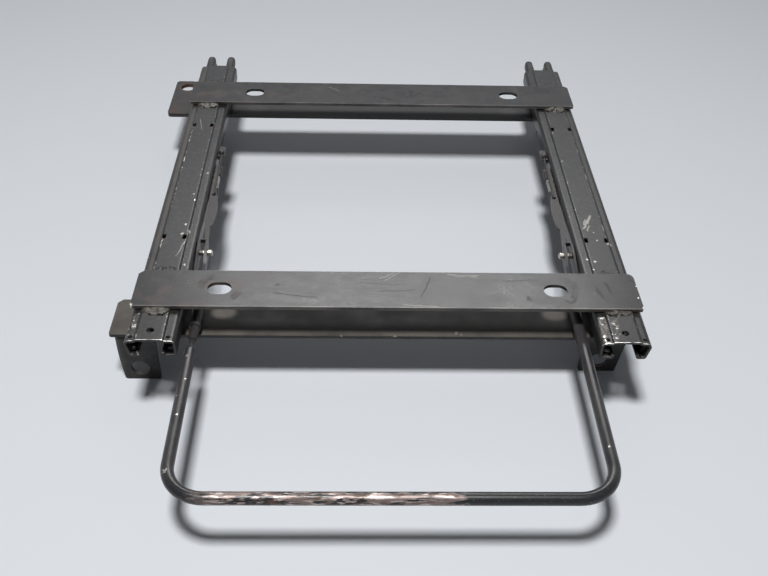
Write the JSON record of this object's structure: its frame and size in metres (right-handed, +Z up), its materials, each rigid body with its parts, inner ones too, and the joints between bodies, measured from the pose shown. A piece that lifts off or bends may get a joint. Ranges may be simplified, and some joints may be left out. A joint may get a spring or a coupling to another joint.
{
  "type": "seat slide frame",
  "caption": "Sliding base for a vehicle seat: ball-bearing slide rails, flat cross strips, floor feet and a towel-bar release that opens the rail locks.",
  "frame": {"origin": "centre of the four seat slots, on the top face of the cross strips", "axes": "+X to the car's right seen from the front, +Y to the rear of the car along the rails, +Z up"},
  "size_m": [0.469, 0.658, 0.088],
  "materials": {
    "rail_paint": "satin black paint, worn at edges and in the grooves",
    "strip_paint": "satin black paint with fine scratches",
    "plate_paint": "satin black paint with dust and rust tint",
    "latch_paint": "thin black paint, rubbed grey at the edges",
    "bar_paint": "gloss black paint, worn to bare steel along the front rod",
    "weld_paint": "weld bead under thin paint",
    "zinc": "dull zinc plating",
    "bright_steel": "bright bare steel",
    "spring_steel": "dark oiled spring wire",
    "cage_plastic": "natural nylon"
  },
  "bodies": {
    "floor_frame": {"lower_rail_left": "rail_paint", "lower_rail_right": "rail_paint", "front_lower_bar": "plate_paint", "rear_lower_plate": "plate_paint", "front_foot_left": "plate_paint", "front_foot_right": "plate_paint", "rear_foot_left": "plate_paint", "rear_foot_right": "plate_paint", "front_spacer_left": "zinc", "front_spacer_right": "zinc", "rail_bolts": "zinc", "rail_nuts": "zinc"},
    "seat_frame": {"upper_rail_left": "rail_paint", "upper_rail_right": "rail_paint", "front_cross_strip": "strip_paint", "rear_cross_strip": "strip_paint", "front_strip_welds": "weld_paint", "rear_strip_welds": "weld_paint", "travel_stops_left": "rail_paint", "travel_stops_right": "rail_paint", "hinge_bracket_left": "latch_paint", "hinge_bracket_right": "latch_paint", "hinge_rod_left": "zinc", "hinge_rod_right": "zinc", "spring_tab_left": "latch_paint", "spring_tab_right": "latch_paint", "lock_spring_left": "spring_steel", "lock_spring_right": "spring_steel", "pivot_pin_left": "bright_steel", "pivot_pin_right": "bright_steel"},
    "release_bar": {"release_bar": "bar_paint", "bar_socket": "latch_paint", "lever_left": "latch_paint", "lever_right": "latch_paint"},
    "lock_plate_left": {"lock_plate_left": "latch_paint"},
    "lock_plate_right": {"lock_plate_right": "latch_paint"},
    "ball_carrier_left": {"ball_cages_left": "cage_plastic", "balls_left": "bright_steel"},
    "ball_carrier_right": {"ball_cages_right": "cage_plastic", "balls_right": "bright_steel"}
  },
  "joints": [
    {"name": "seat_slide", "type": "slide", "parent": "floor_frame", "child": "seat_frame", "axis": [0, 1, 0], "range_m": [-0.078, 0.142]},
    {"name": "release_hinge", "type": "hinge", "parent": "seat_frame", "child": "release_bar", "pos_m": [0, -0.1095, -0.0125], "axis": [-1, 0, 0], "range_deg": [0, 6], "stiffness_Nm_per_rad": 8, "springref_deg": -5.73},
    {"name": "lock_hinge_left", "type": "hinge", "parent": "seat_frame", "child": "lock_plate_left", "pos_m": [-0.1707, 0, -0.0185], "axis": [0, 1, 0], "range_deg": [0, 13]},
    {"name": "lock_hinge_right", "type": "hinge", "parent": "seat_frame", "child": "lock_plate_right", "pos_m": [0.1707, 0, -0.0185], "axis": [0, -1, 0], "range_deg": [0, 13]},
    {"name": "ball_run_left", "type": "slide", "parent": "floor_frame", "child": "ball_carrier_left", "axis": [0, 1, 0], "range_m": [-0.039, 0.071]},
    {"name": "ball_run_right", "type": "slide", "parent": "floor_frame", "child": "ball_carrier_right", "axis": [0, 1, 0], "range_m": [-0.039, 0.071]}
  ],
  "couplings": [
    {"joint": "lock_hinge_left", "follows": "release_hinge", "ratio": 2.15},
    {"joint": "lock_hinge_right", "follows": "release_hinge", "ratio": 2.15},
    {"joint": "ball_run_left", "follows": "seat_slide", "ratio": 0.5},
    {"joint": "ball_run_right", "follows": "seat_slide", "ratio": 0.5}
  ]
}
